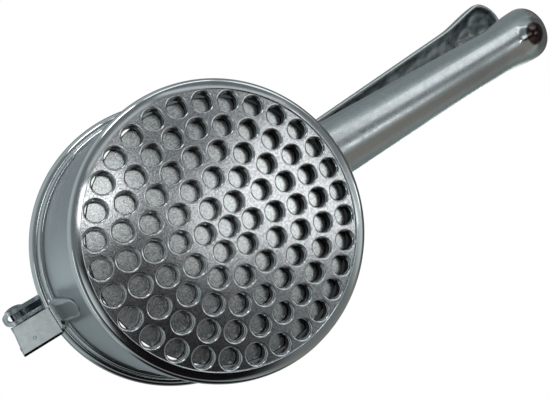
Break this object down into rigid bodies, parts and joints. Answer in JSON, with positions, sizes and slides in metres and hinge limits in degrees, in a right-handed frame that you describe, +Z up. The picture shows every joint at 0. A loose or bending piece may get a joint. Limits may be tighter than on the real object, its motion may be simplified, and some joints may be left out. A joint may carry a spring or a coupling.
{
  "type": "passatelli press",
  "caption": "Hand press for passatelli: tapered cup with a perforated floor plate, side handle and a hinged lever that drives a disc plunger down to extrude dough.",
  "frame": {"origin": "centre of the flat ring under the cup's rim, on which the press stands", "axes": "+Z up the cup's axis to its mouth, +X along the cup handle to the grips, +Y completes the right-handed frame"},
  "size_m": [0.2666, 0.106, 0.1025],
  "materials": {
    "plated_steel": "bright plated steel with a slightly satin skin",
    "steel_pins": "plain turned steel"
  },
  "bodies": {
    "cup_body": {"cup": "plated_steel", "rim_ring": "plated_steel", "die_plate": "plated_steel", "handle_saddle": "plated_steel", "cup_handle": "plated_steel", "hinge_bracket": "plated_steel", "hinge_pin": "steel_pins", "hinge_washer": "steel_pins"},
    "lever": {"lever_arm": "plated_steel", "lever_grip": "plated_steel", "plunger_pin": "steel_pins", "plunger_washers": "steel_pins", "plunger_clip": "steel_pins"},
    "plunger": {"plunger_disc": "plated_steel", "plunger_yoke": "plated_steel", "plunger_rivets": "steel_pins"}
  },
  "joints": [
    {"name": "lever_hinge", "type": "hinge", "parent": "cup_body", "child": "lever", "pos_m": [-0.0615, -0.0023, 0.072], "axis": [0, -1, 0], "range_deg": [0, 84]},
    {"name": "plunger_pivot", "type": "hinge", "parent": "lever", "child": "plunger", "pos_m": [0, -0.0023, 0.095], "axis": [0, -1, 0], "range_deg": [-40, 0]}
  ],
  "couplings": [
    {"joint": "plunger_pivot", "follows": "lever_hinge", "ratio": -0.46}
  ]
}
